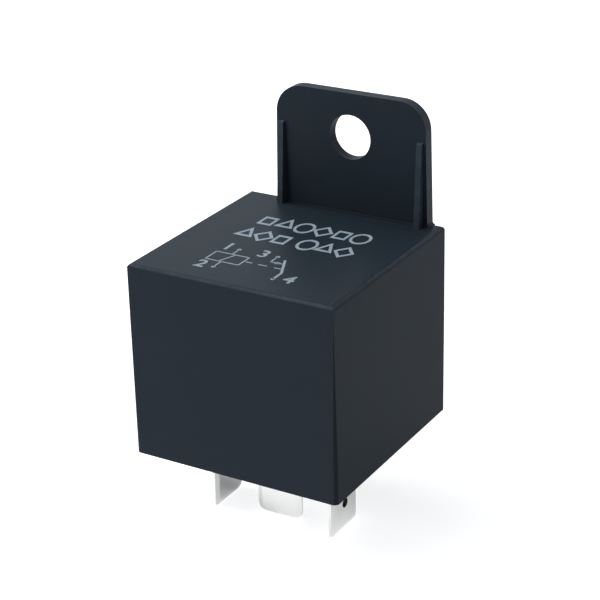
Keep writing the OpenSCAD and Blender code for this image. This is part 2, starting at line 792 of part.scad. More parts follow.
// Side outline of the spring, with y and z as its axes: flat over the armature,
// bent round the yoke's back edge and flat down the yoke's back
module spring_side() {
    far = 2 * (spring_bend + spring_t);
    translate([bend_y, bend_z]) {
        rotate(-lift) translate([-bend_start - spring_tip, spring_bend])
            square([bend_start + spring_tip, spring_t]);
        intersection() {
            difference() {
                circle(spring_bend + spring_t);
                circle(spring_bend);
            }
            polygon([[0, 0], [far, 0], [far, far], far * [sin(lift), cos(lift)]]);
        }
        translate([spring_bend, spring_low - bend_z]) square([spring_t, bend_z - spring_low]);
    }
}

// Seen from above the armature, what the spring's narrow front leaves out
module spring_trim() {
    difference() {
        translate([-spring_w, -spring_tip - bite]) square([2 * spring_w, spring_tip + bite - neck_y]);
        translate([0, -(spring_tip + neck_y - nose_r) / 2])
            round_rect(neck_w, spring_tip - neck_y + nose_r, nose_r);
    }
}

module contact_spring() {
    color("#c98d4e") difference() {
        from_rim() along_x(spring_w) spring_side();
        tilted() linear_extrude(stack_clear) spring_trim();
        from_rim() translate([0, bend_y, bend_z]) cube([window_w, window_h, window_h], center = true);
        tilted() translate([0, -contact_reach, 0]) cylinder(r = rivet_d / 2 + seat_gap, h = stack_clear);
        for (s = [-1, 1]) {
            tilted() translate([s * rivet_x, -rivet_y, 0])
                cylinder(r = rivet_d / 2 + seat_gap, h = stack_clear);
            from_rim() translate([s * rivet_x, yoke_out - bite, yoke_rivet_z]) rotate([-90, 0, 0])
                cylinder(r = rivet_d / 2 + seat_gap, h = spring_t + 3 * bite);
        }
    }
}

module armature_rivets() {
    low = run_gap;
    color("#c4c6c8") tilted() for (s = [-1, 1]) translate([s * rivet_x, -rivet_y, 0]) {
        translate([0, 0, low]) cylinder(d = rivet_d, h = head_z - low + bite);
        translate([0, 0, head_z]) domed_head(rivet_head_r, rivet_h);
    }
}

module yoke_rivets() {
    head_y = yoke_out + 2 * seat_gap + spring_t;
    color("#c4c6c8") from_rim() for (s = [-1, 1]) translate([s * rivet_x, 0, yoke_rivet_z]) {
        translate([0, yoke_in, 0]) rotate([-90, 0, 0]) cylinder(d = rivet_d, h = head_y - yoke_in + bite);
        translate([0, head_y, 0]) rotate([-90, 0, 0]) domed_head(rivet_head_r, rivet_h);
    }
}

// Low dome of radius r and height h, whose upright rim takes up part of the height
module domed_head(r, h) {
    rim = h * 0.4;
    rise = h - rim;
    ball = (r * r + rise * rise) / (2 * rise);
    rotate_extrude() intersection() {
        translate([0, h - ball]) circle(ball);
        square([r, h]);
    }
}

module moving_contact() {
    tail_t = 0.4;
    color("#d9dadb") tilted() translate([0, -contact_reach, 0]) {
        translate([0, 0, head_z]) domed_head(contact_d / 2, contact_h - 2 * seat_gap);
        translate([0, 0, armature_t - bite]) cylinder(d = rivet_d, h = spring_t + bite * 2);
        translate([0, 0, armature_t - tail_t]) cylinder(d = rivet_tail_d, h = tail_t);
    }
}

module fixed_contact() {
    color("#d9dadb") from_rim() translate([0, fixed_y, 0]) {
        translate([0, 0, fixed_face_z]) cylinder(d = contact_d, h = contact_h - seat_gap);
        translate([0, 0, fixed_face_z + bite]) cylinder(d = rivet_d, h = contact_h + blade_t);
        translate([0, 0, arm_z + blade_t + seat_gap]) cylinder(d = rivet_tail_d, h = rivet_h / 2 - seat_gap);
    }
}

// Copper braid, from under the contact spring's nose to the common terminal
module braid() {
    reach = contact_reach - braid_start[1];
    nose = [braid_start[0], hinge_y - reach * cos(lift), yoke_top + reach * sin(lift) + armature_t - braid_r];
    tail = [tail_x - braid_r - seat_gap, tail_y - braid_aside, tail_top];
    turn = [tail[0], core_y, tail[2]] + braid_turn;
    route = concat([nose], [for (step = braid_rise) nose + step], [turn],
                   [for (step = braid_fall) tail + step]);
    color("#c47a45") from_rim() tube_along(smooth_route(route, 5), braid_r, 8, [1, 0, 0.02]);
}

cover();
base();
seal_resin();
coil_terminal(-1);  // coil_terminal_left
coil_terminal(1);  // coil_terminal_right
contact_terminal();
common_terminal();
yoke();
core();
bobbin();
coil_winding();
coil_tape();
coil_lead(-1);  // coil_lead_left
coil_lead(1);  // coil_lead_right
solder_caps();
armature();
contact_spring();
armature_rivets();
yoke_rivets();
moving_contact();
fixed_contact();
braid();
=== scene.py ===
import json
import math

import bmesh
import bpy
from mathutils import Matrix, Vector

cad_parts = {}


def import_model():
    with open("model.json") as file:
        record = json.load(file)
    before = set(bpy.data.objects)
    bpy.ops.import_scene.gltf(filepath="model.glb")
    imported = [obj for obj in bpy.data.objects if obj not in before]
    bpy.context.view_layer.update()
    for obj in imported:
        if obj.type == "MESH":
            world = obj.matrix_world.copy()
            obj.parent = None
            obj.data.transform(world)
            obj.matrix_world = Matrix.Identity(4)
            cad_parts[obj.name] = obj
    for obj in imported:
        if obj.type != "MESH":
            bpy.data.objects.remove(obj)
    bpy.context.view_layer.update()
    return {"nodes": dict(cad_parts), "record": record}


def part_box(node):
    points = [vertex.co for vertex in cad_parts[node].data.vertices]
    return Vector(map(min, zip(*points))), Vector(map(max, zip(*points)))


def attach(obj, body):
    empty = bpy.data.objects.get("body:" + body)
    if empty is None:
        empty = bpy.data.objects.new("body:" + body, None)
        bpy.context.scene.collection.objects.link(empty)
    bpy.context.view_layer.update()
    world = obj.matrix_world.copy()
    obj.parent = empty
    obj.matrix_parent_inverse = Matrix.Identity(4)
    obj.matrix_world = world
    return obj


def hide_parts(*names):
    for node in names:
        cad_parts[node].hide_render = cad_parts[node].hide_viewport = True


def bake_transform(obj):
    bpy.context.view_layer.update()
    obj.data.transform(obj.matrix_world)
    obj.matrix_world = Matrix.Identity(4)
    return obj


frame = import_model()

NODES = frame["nodes"]
NODE_SLOT = {part["node"]: part["material_slot"] for part in frame["record"]["subparts"]}
MOUNTS = {mount["name"]: mount for mount in frame["record"]["mounts"]}
MM = 0.001

# Places taken from the relay, in millimetres
COVER_H = 25
RIM_TO_RESIN = 0.8
TOP_FACE_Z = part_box("seal_resin")[0][2] / MM - RIM_TO_RESIN + COVER_H
BRACKET_HOLE = MOUNTS["bracket_hole"]
BRACKET_X = BRACKET_HOLE["pos_m"][0] / MM
BRACKET_FRONT_Y = BRACKET_HOLE["pos_m"][1] / MM - BRACKET_HOLE["dims"]["length_mm"] / 2


# Colours and nodes

# A Mix node's sockets for colours: its factor, its two colours and its result
FACTOR, FROM, TO, MIXED = 0, 6, 7, 2


def colour(code):
    """An sRGB hex code as a linear colour."""
    shares = [int(code[i:i + 2], 16) / 255 for i in (0, 2, 4)]
    return [c / 12.92 if c <= 0.04045 else ((c + 0.055) / 1.055) ** 2.4 for c in shares] + [1]


def per_mm(size):
    """Texture scale at which one feature takes this many millimetres."""
    return 1 / (size * MM)


def wire(tree, node, inputs):
    """Each input of a node takes a value, a link from a socket, or a link from a node's first output."""
    for name, value in inputs.items():
        if isinstance(value, bpy.types.Node):
            value = value.outputs[0]
        if isinstance(value, bpy.types.NodeSocket):
            tree.links.new(value, node.inputs[name])
        else:
            node.inputs[name].default_value = value


def add(tree, kind, inputs, **settings):
    """A shader node of a kind, with its settings and links."""
    node = tree.nodes.new("ShaderNode" + kind)
    for name, value in settings.items():
        setattr(node, name, value)
    wire(tree, node, inputs)
    return node


def surface(name):
    """A new material, its tree and its Object coordinates."""
    material = bpy.data.materials.new(name)
    material.use_nodes = True
    tree = material.node_tree
    return material, tree, add(tree, "TexCoord", {}).outputs["Object"]


def shaded(material, sockets):
    """The material, once its Principled shader has its sockets set and linked."""
    tree = material.node_tree
    wire(tree, tree.nodes["Principled BSDF"], sockets)
    return material


# Materials

def moulded_cover():
    # PBT, injection moulded in a spark-eroded cavity: dull satin, blue black, with a fine even
    # grain that scatters most of its gloss, so its IOR is set well below that of a polished face
    material, tree, place = surface("pbt_spark_eroded")
    cloud = add(tree, "TexNoise", {"Vector": place, "Scale": per_mm(7), "Detail": 2})
    grain = add(tree, "TexNoise", {"Vector": place, "Scale": per_mm(0.3), "Detail": 2})
    plain = add(tree, "Mix", {FACTOR: cloud, FROM: colour("252d35"), TO: colour("29323a")}, data_type="RGBA")
    # Where the attribute is 1 the plastic is smoother and, in patches, paler: a painted highlight. Where it
    # is -1, in the inner corners, it is duller and darker: painted shade; at -0.5, on the upright edges, it
    # is half as dark: a painted dark reflection
    highlight_strength, rub_smoothing = 1.3, -0.14
    rub_and_painted_light = add(tree, "Attribute", {}, attribute_name="rub_and_painted_light").outputs["Fac"]
    patches = add(tree, "TexNoise", {"Vector": place, "Scale": per_mm(1.6), "Detail": 3})
    patchy = add(tree, "Math", {0: rub_and_painted_light, 1: patches}, operation="MULTIPLY")
    # Paler in patches where the attribute is 1: a painted highlight
    painted_highlight = add(tree, "Math", {0: patchy, 1: highlight_strength}, operation="MULTIPLY", use_clamp=True)
    pale = add(tree, "Mix", {FACTOR: painted_highlight, FROM: plain.outputs[MIXED], TO: colour("414b55")},
               data_type="RGBA")
    # Darker in the inner corners, painted shade, and half as dark on the upright edges, a painted dark
    # reflection
    corner = add(tree, "MapRange", {"Value": rub_and_painted_light, "From Min": 0.0, "From Max": -1.0})
    tint = add(tree, "Mix", {FACTOR: corner, FROM: pale.outputs[MIXED], TO: colour("14181d")},
               data_type="RGBA")
    even = add(tree, "MapRange", {"Value": cloud, "To Min": 0.41, "To Max": 0.49})
    gloss = add(tree, "Math", {0: rub_and_painted_light, 1: rub_smoothing, 2: even}, operation="MULTIPLY_ADD")
    swell = add(tree, "Bump", {"Height": cloud, "Distance": 0.02 * MM})
    skin = add(tree, "Bump", {"Height": grain, "Distance": 0.012 * MM, "Normal": swell})
    return shaded(material, {"IOR": 1.19, "Base Color": tint.outputs[MIXED], "Roughness": gloss,
                             "Normal": skin})


def moulded_base():
    # PBT, injection moulded in a ground cavity: a little duller and browner than the cover
    material, tree, place = surface("pbt_ground_cavity")
    cloud = add(tree, "TexNoise", {"Vector": place, "Scale": per_mm(5), "Detail": 2})
    grain = add(tree, "TexNoise", {"Vector": place, "Scale": per_mm(0.35), "Detail": 2})
    tint = add(tree, "Mix", {FACTOR: cloud, FROM: colour("1b1f23"), TO: colour("23272b")}, data_type="RGBA")
    gloss = add(tree, "MapRange", {"Value": cloud, "To Min": 0.4, "To Max": 0.5})
    skin = add(tree, "Bump", {"Height": grain, "Distance": 0.008 * MM})
    return shaded(material, {"IOR": 1.45, "Base Color": tint.outputs[MIXED], "Roughness": gloss,
                             "Normal": skin})


def cured_resin():
    # Epoxy, poured and cured: glossy, with a slow ripple and a few pinholes
    material, tree, place = surface("epoxy_poured")
    ripple = add(tree, "TexNoise", {"Vector": place, "Scale": per_mm(2.5), "Detail": 1})
    cells = add(tree, "TexVoronoi", {"Vector": place, "Scale": per_mm(1.1)})
    pinholes = add(tree, "MapRange", {"Value": cells, "From Min": 0.0, "From Max": 0.16})
    tint = add(tree, "Mix", {FACTOR: ripple, FROM: colour("0e0f11"), TO: colour("17191c")}, data_type="RGBA")
    waves = add(tree, "Bump", {"Height": ripple, "Distance": 0.06 * MM})
    skin = add(tree, "Bump", {"Height": pinholes, "Distance": 0.02 * MM, "Normal": waves})
    return shaded(material, {"IOR": 1.5, "Roughness": 0.12, "Base Color": tint.outputs[MIXED],
                             "Normal": skin})


def tinned_sheet():
    # Brass strip, matt tin plated and stamped: soft white shine, with faint rolling lines up the blades
    material, tree, place = surface("brass_tin_plated")
    rolled = add(tree, "Mapping", {"Vector": place, "Scale": (14, 14, 1)})
    lines = add(tree, "TexNoise", {"Vector": rolled, "Scale": per_mm(4), "Detail": 3})
    cloud = add(tree, "TexNoise", {"Vector": place, "Scale": per_mm(1.8), "Detail": 2})
    tint = add(tree, "Mix", {FACTOR: cloud, FROM: colour("f1f0ee"), TO: colour("fbfaf8")}, data_type="RGBA")
    gloss = add(tree, "MapRange", {"Value": cloud, "To Min": 0.28, "To Max": 0.4})
    swell = add(tree, "Bump", {"Height": cloud, "Distance": 0.01 * MM})
    skin = add(tree, "Bump", {"Height": lines, "Distance": 0.006 * MM, "Normal": swell})
    return shaded(material, {"Metallic": 1.0, "Base Color": tint.outputs[MIXED], "Roughness": gloss,
                             "Normal": skin})


def sheared_brass_and_shade():
    # Brass, sheared by the punch after plating, on the wall of a latch hole: dull, and darkened as painted
    # shade inside the hole
    material, tree, place = surface("brass_sheared_painted_shade")
    drawn = add(tree, "Mapping", {"Vector": place, "Scale": (1, 8, 8)})
    tears = add(tree, "TexNoise", {"Vector": drawn, "Scale": per_mm(0.9), "Detail": 2})
    # Dark colours: partly the bare sheared brass, partly painted shade inside the hole
    tint = add(tree, "Mix", {FACTOR: tears, FROM: colour("2c2925"), TO: colour("4a443a")}, data_type="RGBA")
    skin = add(tree, "Bump", {"Height": tears, "Distance": 0.01 * MM})
    return shaded(material, {"Metallic": 1.0, "Roughness": 0.6, "Base Color": tint.outputs[MIXED],
                             "Normal": skin})


def plated_iron():
    # Soft iron sheet, stamped and nickel plated: grey satin with a stamped skin
    material, tree, place = surface("iron_nickel_plated")
    rolled = add(tree, "Mapping", {"Vector": place, "Scale": (1, 12, 12)})
    lines = add(tree, "TexNoise", {"Vector": rolled, "Scale": per_mm(3), "Detail": 2})
    cloud = add(tree, "TexNoise", {"Vector": place, "Scale": per_mm(1.2), "Detail": 3})
    tint = add(tree, "Mix", {FACTOR: cloud, FROM: colour("a7a6a1"), TO: colour("bdbcb7")}, data_type="RGBA")
    gloss = add(tree, "MapRange", {"Value": cloud, "To Min": 0.28, "To Max": 0.42})
    swell = add(tree, "Bump", {"Height": cloud, "Distance": 0.012 * MM})
    skin = add(tree, "Bump", {"Height": lines, "Distance": 0.005 * MM, "Normal": swell})
    return shaded(material, {"Metallic": 1.0, "Base Color": tint.outputs[MIXED], "Roughness": gloss,
                             "Normal": skin})


def turned_core():
    # Soft iron, cold headed and nickel plated: brighter, with rings from the turned pole face
    material, tree, place = surface("iron_turned")
    low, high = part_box("core")
    middle = (low + high) / 2
    centred = add(tree, "Mapping", {"Vector": place, "Location": (-middle.x, -middle.y, 0)})
    # At a scale of 1 the wave node runs through 20 radians in a metre; here a radian is 0.25 mm
    ring_scale = per_mm(0.25) / 20
    rings = add(tree, "TexWave", {"Vector": centred, "Scale": ring_scale, "Distortion": 0.4},
                wave_type="RINGS", rings_direction="Z")
    cloud = add(tree, "TexNoise", {"Vector": place, "Scale": per_mm(1.5), "Detail": 2})
    tint = add(tree, "Mix", {FACTOR: cloud, FROM: colour("b4b3af"), TO: colour("c9c8c4")}, data_type="RGBA")
    swell = add(tree, "Bump", {"Height": cloud, "Distance": 0.006 * MM})
    skin = add(tree, "Bump", {"Height": rings.outputs["Fac"], "Distance": 0.004 * MM, "Normal": swell})
    return shaded(material, {"Metallic": 1.0, "Roughness": 0.28, "Base Color": tint.outputs[MIXED],
                             "Normal": skin})


def bobbin_nylon():
    # Nylon with glass fibre, injection moulded: ivory, a little translucent
    material, tree, place = surface("nylon_glass_filled")
    cloud = add(tree, "TexNoise", {"Vector": place, "Scale": per_mm(2.5), "Detail": 3})
    fibres = add(tree, "TexNoise", {"Vector": place, "Scale": per_mm(0.25), "Detail": 2})
    tint = add(tree, "Mix", {FACTOR: cloud, FROM: colour("e0d8c2"), TO: colour("ece6d4")}, data_type="RGBA")
    skin = add(tree, "Bump", {"Height": fibres, "Distance": 0.008 * MM})
    return shaded(material, {"IOR": 1.52, "Roughness": 0.38, "Subsurface Weight": 0.25,
                             "Subsurface Scale": 0.6 * MM, "Base Color": tint.outputs[MIXED],
                             "Normal": skin})


def enamelled_wire():
    # Copper wire, drawn and lacquered: deep orange under a clear coat
    material, tree, place = surface("copper_enamelled")
    cloud = add(tree, "TexNoise", {"Vector": place, "Scale": per_mm(1.4), "Detail": 2})
    lacquer = add(tree, "TexNoise", {"Vector": place, "Scale": per_mm(0.2), "Detail": 2})
    tint = add(tree, "Mix", {FACTOR: cloud, FROM: colour("a4501f"), TO: colour("bd6a30")}, data_type="RGBA")
    skin = add(tree, "Bump", {"Height": lacquer, "Distance": 0.004 * MM})
    return shaded(material, {"Metallic": 1.0, "Roughness": 0.3, "Coat Weight": 0.8, "Coat Roughness": 0.08,
                             "Base Color": tint.outputs[MIXED], "Normal": skin})


def polyester_tape():
    # Polyester film, wound in overlapping turns: clear amber with faint wrinkles round the coil
    material, tree, place = surface("polyester_film")
    wound = add(tree, "Mapping", {"Vector": place, "Scale": (1, 1, 5)})
    wrinkles = add(tree, "TexNoise", {"Vector": wound, "Scale": per_mm(2.2), "Detail": 2})
    tint = add(tree, "Mix", {FACTOR: wrinkles, FROM: colour("b98a1e"), TO: colour("d3a638")},
               data_type="RGBA")
    skin = add(tree, "Bump", {"Height": wrinkles, "Distance": 0.03 * MM})
    return shaded(material, {"IOR": 1.6, "Roughness": 0.18, "Base Color": tint.outputs[MIXED],
                             "Normal": skin})


def solder_alloy():
    # Tin solder, melted on by hand: bright, with a frosted skin where it cooled last
    material, tree, place = surface("tin_solder")
    frost = add(tree, "TexNoise", {"Vector": place, "Scale": per_mm(0.5), "Detail": 3})
    tint = add(tree, "Mix", {FACTOR: frost, FROM: colour("c9cbce"), TO: colour("e0e1e3")}, data_type="RGBA")
    gloss = add(tree, "MapRange", {"Value": frost, "To Min": 0.12, "To Max": 0.34})
    skin = add(tree, "Bump", {"Height": frost, "Distance": 0.012 * MM})
    return shaded(material, {"Metallic": 1.0, "Base Color": tint.outputs[MIXED], "Roughness": gloss,
                             "Normal": skin})


def spring_bronze():
    # Phosphor bronze strip, rolled hard: warm satin with lines along the strip
    material, tree, place = surface("bronze_rolled")
    rolled = add(tree, "Mapping", {"Vector": place, "Scale": (16, 1, 1)})
    lines = add(tree, "TexNoise", {"Vector": rolled, "Scale": per_mm(5), "Detail": 3})
    tint = add(tree, "Mix", {FACTOR: lines, FROM: colour("bd8550"), TO: colour("d09a62")}, data_type="RGBA")
    skin = add(tree, "Bump", {"Height": lines, "Distance": 0.005 * MM})
    return shaded(material, {"Metallic": 1.0, "Roughness": 0.3, "Base Color": tint.outputs[MIXED],
                             "Normal": skin})


def headed_rivet():
    # Steel rivets, headed and zinc plated: cool grey with a hammered skin
    material, tree, place = surface("steel_zinc_plated")
    dents = add(tree, "TexNoise", {"Vector": place, "Scale": per_mm(0.5), "Detail": 2})
    tint = add(tree, "Mix", {FACTOR: dents, FROM: colour("b2b5ba"), TO: colour("c9cbcf")}, data_type="RGBA")
    skin = add(tree, "Bump", {"Height": dents, "Distance": 0.01 * MM})
    return shaded(material, {"Metallic": 1.0, "Roughness": 0.3, "Base Color": tint.outputs[MIXED],
                             "Normal": skin})


def contact_silver():
    # Silver with tin oxide, pressed: pale, fine grained and slightly mottled
    material, tree, place = surface("silver_pressed")
    grains = add(tree, "TexNoise", {"Vector": place, "Scale": per_mm(0.35), "Detail": 3})
    tint = add(tree, "Mix", {FACTOR: grains, FROM: colour("c6c5c1"), TO: colour("e4e3de")}, data_type="RGBA")
    gloss = add(tree, "MapRange", {"Value": grains, "To Min": 0.24, "To Max": 0.42})
    skin = add(tree, "Bump", {"Height": grains, "Distance": 0.006 * MM})
    return shaded(material, {"Metallic": 1.0, "Base Color": tint.outputs[MIXED], "Roughness": gloss,
                             "Normal": skin})


def bare_copper():
    # Copper wires, plaited bare: bright orange, slightly uneven
    material, tree, place = surface("copper_plaited")
    cloud = add(tree, "TexNoise", {"Vector": place, "Scale": per_mm(0.8), "Detail": 2})
    wires = add(tree, "TexNoise", {"Vector": place, "Scale": per_mm(0.12), "Detail": 2})
    tint = add(tree, "Mix", {FACTOR: cloud, FROM: colour("b3643a"), TO: colour("d08656")}, data_type="RGBA")
    skin = add(tree, "Bump", {"Height": wires, "Distance": 0.006 * MM})
    return shaded(material, {"Metallic": 1.0, "Roughness": 0.32, "Base Color": tint.outputs[MIXED],
                             "Normal": skin})


def printed_ink():
    # Pad printing ink: thin, pale and matt, a little patchy where the film is thin
    material, tree, place = surface("ink_pad_printed")
    patches = add(tree, "TexNoise", {"Vector": place, "Scale": per_mm(0.8), "Detail": 3})
    film = add(tree, "TexNoise", {"Vector": place, "Scale": per_mm(0.2), "Detail": 2})
    tint = add(tree, "Mix", {FACTOR: patches, FROM: colour("97a5af"), TO: colour("b9c7d1")},
               data_type="RGBA")
    skin = add(tree, "Bump", {"Height": film, "Distance": 0.004 * MM})
    return shaded(material, {"IOR": 1.45, "Roughness": 0.6, "Base Color": tint.outputs[MIXED],
                             "Normal": skin})


FINISHES = {
    "cover_plastic": moulded_cover(), "base_plastic": moulded_base(), "seal_resin": cured_resin(),
    "tinned_brass": tinned_sheet(), "plated_iron": plated_iron(), "core_iron": turned_core(),
    "bobbin_plastic": bobbin_nylon(), "enamelled_copper": enamelled_wire(), "coil_tape": polyester_tape(),
    "solder": solder_alloy(), "spring_bronze": spring_bronze(), "rivet_steel": headed_rivet(),
    "contact_silver": contact_silver(), "bare_copper": bare_copper(),
}
PUNCHED_AND_SHADED = sheared_brass_and_shade()
for name, node in NODES.items():
    for held in node.material_slots:
        held.material = FINISHES[NODE_SLOT[name]]


# Pieces

# Edges that turn by more are sharp
SHARP = math.radians(35)
# The coined bevels of a blade turn by 18 degrees and stay crisp
COINED = math.radians(12)
# Points of a mesh that lie closer than this, in millimetres, are one
WELD = 0.0002


def finished(name, bm, materials, body, smooth=SHARP):
    """An object from a finished bmesh, smooth up to the given angle, riding on a body."""
    mesh = bpy.data.meshes.new(name)
    bm.to_mesh(mesh)
    bm.free()
    for material in materials:
        mesh.materials.append(material)
    mesh.shade_smooth()
    mesh.set_sharp_from_angle(angle=smooth)
    piece = bpy.data.objects.new(name, mesh)
    bpy.context.scene.collection.objects.link(piece)
    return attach(piece, body) if body else piece


def merged(node):
    """A bmesh copy of a CAD node, with its loose triangles joined to flat faces."""
    flat = math.radians(0.4)
    bm = bmesh.new()
    bm.from_mesh(NODES[node].data)
    bmesh.ops.remove_doubles(bm, verts=bm.verts, dist=WELD * MM)
    bmesh.ops.dissolve_limit(bm, angle_limit=flat, verts=bm.verts, edges=bm.edges)
    return bm


def edge_rub_and_painted_light(face):
    """Painted light and rubbing of a rounded edge: 1 on an outer edge, a painted highlight; -0.5 on an
    upright one, a painted dark reflection; -1 in a corner, painted shade; else 0.

    A rounded edge is made of faces under 0.3 mm wide. Its first and last face lie almost along
    an axis, as the sides do that it joins, and stay plain.
    """
    narrow, straight, upright = 0.3, 0.9, 0.3
    longest = max(edge.calc_length() for edge in face.edges)
    if face.calc_area() >= narrow * MM * longest:
        return 0.0
    if sum(edge.calc_face_angle_signed(0) for edge in face.edges) < 0:
        return -1.0
    if max(abs(n) for n in face.normal) >= straight:
        return 0.0
    return 1.0 if abs(face.normal.z) > upright else -0.5


def bracket_rub_and_painted_light(face):
    """Painted highlight of the bracket, on faces that are also smoother: 1 on its two ribs and on its upright
    sides, else -1.
    """
    above_foot, beside_hole, proud = 0.5, 4, 0.05
    middle = face.calc_center_median() / MM
    if middle.z <= TOP_FACE_Z + above_foot or abs(middle.x - BRACKET_X) <= beside_hole:
        return -1.0
    return 1.0 if middle.y < BRACKET_FRONT_Y - proud else abs(face.normal.x)


def mark_rub_and_painted_light(bm):
    """Each face of the cover keeps the larger of its two values of painted light and rubbing, but an inner
    corner keeps its painted shade.
    """
    layer = bm.faces.layers.float.new("rub_and_painted_light")
    for face in bm.faces:
        rub_and_painted_light = edge_rub_and_painted_light(face)
        face[layer] = max(rub_and_painted_light, bracket_rub_and_painted_light(face)) if rub_and_painted_light > -1 else rub_and_painted_light


def mark_latch_hole(bm, y):
    """The wall of a blade's latch hole, which runs along X, takes the second material."""
    up, reach = 3.6, 0.68
    for face in bm.faces:
        if all(math.dist(vert.co[1:], (y * MM, up * MM)) < reach * MM for vert in face.verts):
            face.material_index = 1


def softened(name, node, width, segments, body="housing", hole_y=None, crease=SHARP):
    """A copy of a CAD node with its sharp edges rounded, in the node's place."""
    bm = merged(node)
    edges = [e for e in bm.edges if len(e.link_faces) == 2 and e.calc_face_angle(0) > SHARP]
    bmesh.ops.bevel(bm, geom=edges, offset=width * MM, offset_type="OFFSET", segments=segments,
                    profile=0.5, affect="EDGES", clamp_overlap=True, material=-1)
    materials = [FINISHES[NODE_SLOT[node]]]
    if node == "cover":
        mark_rub_and_painted_light(bm)
    if hole_y is not None:
        mark_latch_hole(bm, hole_y)
        materials.append(PUNCHED_AND_SHADED)
    piece = finished(name, bm, materials, body, crease)
    weighted = piece.modifiers.new("weighted_normals", "WEIGHTED_NORMAL")
    weighted.keep_sharp = True
    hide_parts(node)
    return piece


def blades():
    """The four blades, each named as its mount; the closed contact's has no latch hole."""
    for name, node, punched in (("coil_blade_left", "coil_terminal_left", True),
                                ("coil_blade_right", "coil_terminal_right", True),
                                ("closed_contact_blade", "contact_terminal", False),
                                ("common_blade", "common_terminal", True)):
        hole_y = MOUNTS[name]["pos_m"][1] / MM if punched else None
        softened(name, node, width=0.04, segments=2, hole_y=hole_y, crease=COINED)


def cut_rows(bm, axis, start, count):
    """Cuts a bmesh across an axis every half millimetre from a start."""
    normal = [0, 0, 0]
    normal[axis] = 1
    for i in range(count):
        place = [(start + 0.5 * i) * MM * n for n in normal]
        bmesh.ops.bisect_plane(bm, geom=bm.verts[:] + bm.edges[:] + bm.faces[:],
                               plane_co=place, plane_no=normal, dist=1e-9)


def contact_leaf():
    """The contact spring, cut into rows: its lower end lies on the yoke, and it is bent over the yoke's edge.
    """
    bm = merged("contact_spring")
    cut_rows(bm, axis=2, start=24, count=14)
    cut_rows(bm, axis=1, start=7, count=6)
    leaf = finished("contact_leaf", bm, [FINISHES["spring_bronze"]], None)
    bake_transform(leaf)
    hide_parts("contact_spring")
    return leaf


# The braid's route, from under the spring's nose to the common terminal, in millimetres
BRAID_ROUTE = [(2.3, -6.575, 29.881), (4.0, -6.875, 29.381), (6.8, -6.175, 27.881), (9.63, -3.1, 26.3),
               (9.93, 2.6, 24.7), (9.93, 5.4, 23.3), (9.93, 6.2, 21.1), (9.93, 6.2, 19.1)]


def smooth_route(points, steps):
    """Points on a smooth curve through the given ones, with so many steps between two of them."""
    points = [Vector(p) for p in points]
    points = [2 * points[0] - points[1]] + points + [2 * points[-1] - points[-2]]
    route = []
    for a, b, c, d in zip(points, points[1:], points[2:], points[3:]):
        for i in range(steps):
            t = i / steps
            route.append((2 * b + (c - a) * t + (2 * a - 5 * b + 4 * c - d) * t ** 2
                          + (3 * b - a - 3 * c + d) * t ** 3) / 2)
    return route + [points[-2]]


def mesh_of(curve):
    """The mesh of a curve or text, made through an object that is removed again."""
    shape = bpy.data.objects.new(curve.name, curve)
    bpy.context.scene.collection.objects.link(shape)
    mesh = bpy.data.meshes.new_from_object(shape)
    bpy.data.objects.remove(shape)
    return mesh


def braid_strands(strand_r, ring_r, pitch, twisted):
    """A curve of one strand along the braid's route and of others that twist round it."""
    route = smooth_route(BRAID_ROUTE, steps=10)
    curve = bpy.data.curves.new("strands", "CURVE")
    curve.dimensions = "3D"
    curve.bevel_depth = strand_r
    curve.bevel_resolution = 2
    curve.use_fill_caps = True
    lines = [curve.splines.new("POLY") for _ in range(twisted + 1)]
    for line in lines:
        line.points.add(len(route) - 1)
    run, side = 0.0, Vector((0, 0, 1))
    for i, here in enumerate(route):
        before, after = route[max(i - 1, 0)], route[min(i + 1, len(route) - 1)]
        along = (after - before).normalized()
        side = (side - along * side.dot(along)).normalized()
        across = along.cross(side)
        run += (here - before).length
        for k, line in enumerate(lines[1:]):
            turn = 2 * math.pi * (k / twisted + run / pitch)
            line.points[i].co = (*(here + ring_r * (math.cos(turn) * side + math.sin(turn) * across)), 1)
        lines[0].points[i].co = (*here, 1)
    return curve


def copper_braid():
    """Seven strands, whose front end starts under the spring's nose."""
    mesh = mesh_of(braid_strands(strand_r=0.25, ring_r=0.5, pitch=5.5, twisted=6))
    mesh.transform(Matrix.Scale(MM, 4))
    bm = bmesh.new()
    bm.from_mesh(mesh)
    bpy.data.meshes.remove(mesh)
    bmesh.ops.remove_doubles(bm, verts=bm.verts, dist=WELD * MM)
    bmesh.ops.recalc_face_normals(bm, faces=bm.faces)
    braid = finished("copper_braid", bm, [FINISHES["bare_copper"]], None)
    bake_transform(braid)
    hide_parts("braid")
    return braid


# Widths of the rounded edges in millimetres
softened("cover_shell", "cover", width=0.18, segments=3)
softened("base_plate", "base", width=0.08, segments=2)
softened("resin_seals", "seal_resin", width=0.12, segments=3)
blades()
softened("yoke_frame", "yoke", width=0.08, segments=2)
softened("armature_plate", "armature", width=0.08, segments=2, body="armature")
softened("coil_bobbin", "bobbin", width=0.06, segments=2)
contact_leaf()
copper_braid()


# Print on the top face: plain marks and the circuit's symbol, in millimetres on X and Y

INK_T = 0.012
INK_Z = TOP_FACE_Z + INK_T / 2


def stroke(bm, a, b, width):
    """A straight stroke of ink with square ends."""
    a, b = Vector(a), Vector(b)
    middle, run = (a + b) / 2, b - a
    place = (Matrix.Translation((*middle, INK_Z)) @ Matrix.Rotation(math.atan2(run.y, run.x), 4, "Z")
             @ Matrix.Diagonal((run.length, width, INK_T, 1)))
    bmesh.ops.create_cube(bm, size=1, matrix=place)


def path(bm, points, width):
    """A stroke of ink from each point to the next."""
    for a, b in zip(points, points[1:]):
        stroke(bm, a, b, width)


